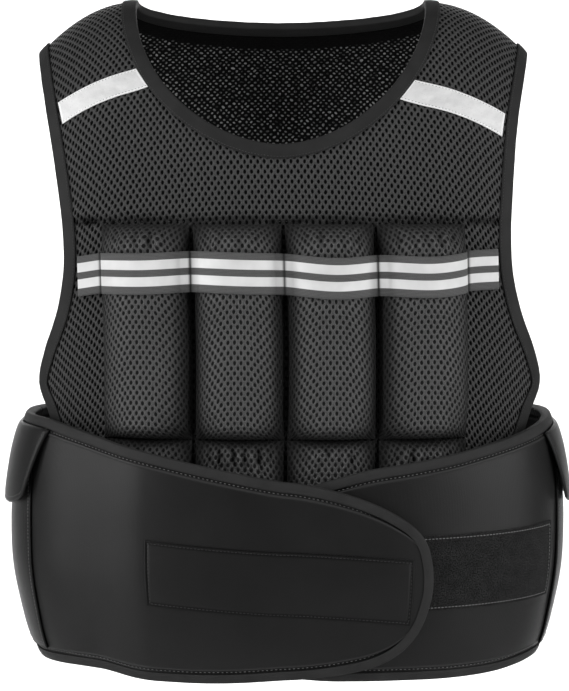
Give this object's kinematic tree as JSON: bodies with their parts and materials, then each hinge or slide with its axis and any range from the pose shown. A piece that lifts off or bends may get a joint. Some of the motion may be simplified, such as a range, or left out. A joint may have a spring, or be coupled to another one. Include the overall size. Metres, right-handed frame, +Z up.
{
  "type": "weighted vest",
  "caption": "Weighted training vest of padded mesh with rows of filled pockets, reflective tapes and a wide wrap-over waist belt.",
  "frame": {"origin": "midway between the shoulders, on the line where the straps rest on them", "axes": "+Z up, -Y towards the vest's front, +X towards the viewer's right when the front is seen"},
  "size_m": [0.4856, 0.2849, 0.5627],
  "materials": {
    "spacer_mesh": "black knitted spacer mesh with small oval holes",
    "binding_tape": "black folded edge tape",
    "belt_cloth": "smooth matte black foam-backed cloth",
    "loop_pile": "black looped pile of a hook-and-loop fastening",
    "reflective_tape": "silver retroreflective tape",
    "band_webbing": "grey webbing with two silver reflective lines"
  },
  "bodies": {
    "root": {"front_panel": "spacer_mesh", "back_panel": "spacer_mesh", "neck_binding": "binding_tape", "arm_binding_left": "binding_tape", "arm_binding_right": "binding_tape", "front_pocket_upper_1": "spacer_mesh", "front_pocket_upper_2": "spacer_mesh", "front_pocket_upper_3": "spacer_mesh", "front_pocket_upper_4": "spacer_mesh", "front_pocket_lower_1": "spacer_mesh", "front_pocket_lower_2": "spacer_mesh", "front_pocket_lower_3": "spacer_mesh", "front_pocket_lower_4": "spacer_mesh", "back_pocket_upper_1": "spacer_mesh", "back_pocket_upper_2": "spacer_mesh", "back_pocket_upper_3": "spacer_mesh", "back_pocket_upper_4": "spacer_mesh", "back_pocket_lower_1": "spacer_mesh", "back_pocket_lower_2": "spacer_mesh", "back_pocket_lower_3": "spacer_mesh", "back_pocket_lower_4": "spacer_mesh", "chest_band": "band_webbing", "back_band": "band_webbing", "shoulder_stripe_left": "reflective_tape", "shoulder_stripe_right": "reflective_tape", "belt_wing_left": "belt_cloth", "belt_wing_right": "belt_cloth", "belt_back": "belt_cloth", "wing_binding_left": "binding_tape", "wing_binding_right": "binding_tape", "belt_binding_top": "binding_tape", "belt_binding_bottom": "binding_tape", "loop_patch": "loop_pile", "front_patch": "belt_cloth", "side_pocket_left": "belt_cloth", "side_flap_left": "belt_cloth", "side_pocket_right": "belt_cloth", "side_flap_right": "belt_cloth"}
  },
  "joints": []
}
